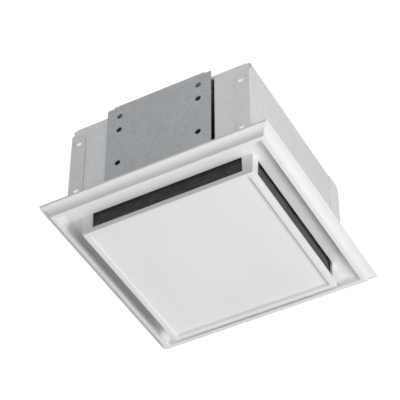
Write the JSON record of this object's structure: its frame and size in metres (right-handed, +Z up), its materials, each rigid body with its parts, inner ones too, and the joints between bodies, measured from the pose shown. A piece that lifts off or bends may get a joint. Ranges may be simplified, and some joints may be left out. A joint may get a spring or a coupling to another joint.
{
  "type": "bathroom extractor fan",
  "caption": "Ceiling bathroom extractor fan: steel housing with joist plate and nailing ears, white slotted grille on springs, charcoal filter, motor and impeller inside.",
  "frame": {"origin": "centre of the grille, on the plane where the back face of its lip lies against the ceiling", "axes": "+Z up into the ceiling void, -Y towards the joist (the side with the plate and the nailing ears), +X completes the right-handed frame"},
  "size_m": [0.236, 0.236, 0.1358],
  "materials": {
    "housing_shell": "galvanised sheet steel",
    "housing_front_wall": "galvanised sheet steel",
    "housing_back_wall": "galvanised sheet steel",
    "seal_tapes": "closed-cell foam tape",
    "joist_plate": "galvanised sheet steel with spangle",
    "plate_spacers": "galvanised steel",
    "knockouts": "galvanised sheet steel",
    "fan_plate": "galvanised sheet steel",
    "fan_plate_screws": "zinc plated",
    "motor_bracket": "galvanised sheet steel",
    "bracket_screws": "zinc plated",
    "motor_grommets": "moulded rubber",
    "stator_core": "stacked steel laminations, varnished",
    "coil_bobbin": "nylon moulding",
    "coil_winding": "enamelled copper wire",
    "rotor": "ground steel laminations",
    "motor_shaft": "ground steel",
    "shaft_washers": "nylon",
    "lower_bearing": "sintered bronze",
    "upper_bearing": "sintered bronze",
    "lower_bridge": "die cast",
    "upper_bridge": "die cast",
    "motor_screws": "zinc plated",
    "motor_nuts": "zinc plated",
    "impeller": "black polypropylene",
    "impeller_clip": "spring steel",
    "wiring_cover": "galvanised sheet steel",
    "wiring_cover_screw": "zinc plated",
    "ground_screw": "green plated steel",
    "motor_receptacle": "moulded socket",
    "motor_plug": "moulded plug",
    "plug_blades": "stamped brass",
    "motor_leads": "insulated wire",
    "grille": "white moulded plastic",
    "charcoal_filter": "charcoal-loaded fibre pad",
    "filter_wires": "zinc plated wire",
    "grille_springs": "spring steel wire"
  },
  "bodies": {
    "housing": {"housing_shell": "housing_shell", "housing_front_wall": "housing_front_wall", "housing_back_wall": "housing_back_wall", "seal_tapes": "seal_tapes", "joist_plate": "joist_plate", "plate_spacers": "plate_spacers", "knockouts": "knockouts", "fan_plate": "fan_plate", "fan_plate_screws": "fan_plate_screws", "motor_bracket": "motor_bracket", "bracket_screws": "bracket_screws", "motor_grommets": "motor_grommets", "stator_core": "stator_core", "coil_bobbin": "coil_bobbin", "coil_winding": "coil_winding", "lower_bearing": "lower_bearing", "upper_bearing": "upper_bearing", "lower_bridge": "lower_bridge", "upper_bridge": "upper_bridge", "motor_screws": "motor_screws", "motor_nuts": "motor_nuts", "wiring_cover": "wiring_cover", "wiring_cover_screw": "wiring_cover_screw", "ground_screw": "ground_screw", "motor_receptacle": "motor_receptacle", "motor_plug": "motor_plug", "plug_blades": "plug_blades", "motor_leads": "motor_leads"},
    "impeller": {"rotor": "rotor", "motor_shaft": "motor_shaft", "shaft_washers": "shaft_washers", "impeller": "impeller", "impeller_clip": "impeller_clip"},
    "grille": {"grille": "grille", "charcoal_filter": "charcoal_filter", "filter_wires": "filter_wires", "grille_springs": "grille_springs"}
  },
  "joints": [
    {"name": "impeller_spin", "type": "hinge", "parent": "housing", "child": "impeller", "pos_m": [0, -0.007, 0.076], "axis": [0, 0, 1], "continuous": true},
    {"name": "grille_drop", "type": "slide", "parent": "housing", "child": "grille", "axis": [0, 0, -1], "range_m": [0, 0.06], "stiffness_N_per_m": 200, "springref_m": -0.04, "deforming": ["grille_springs"]}
  ]
}
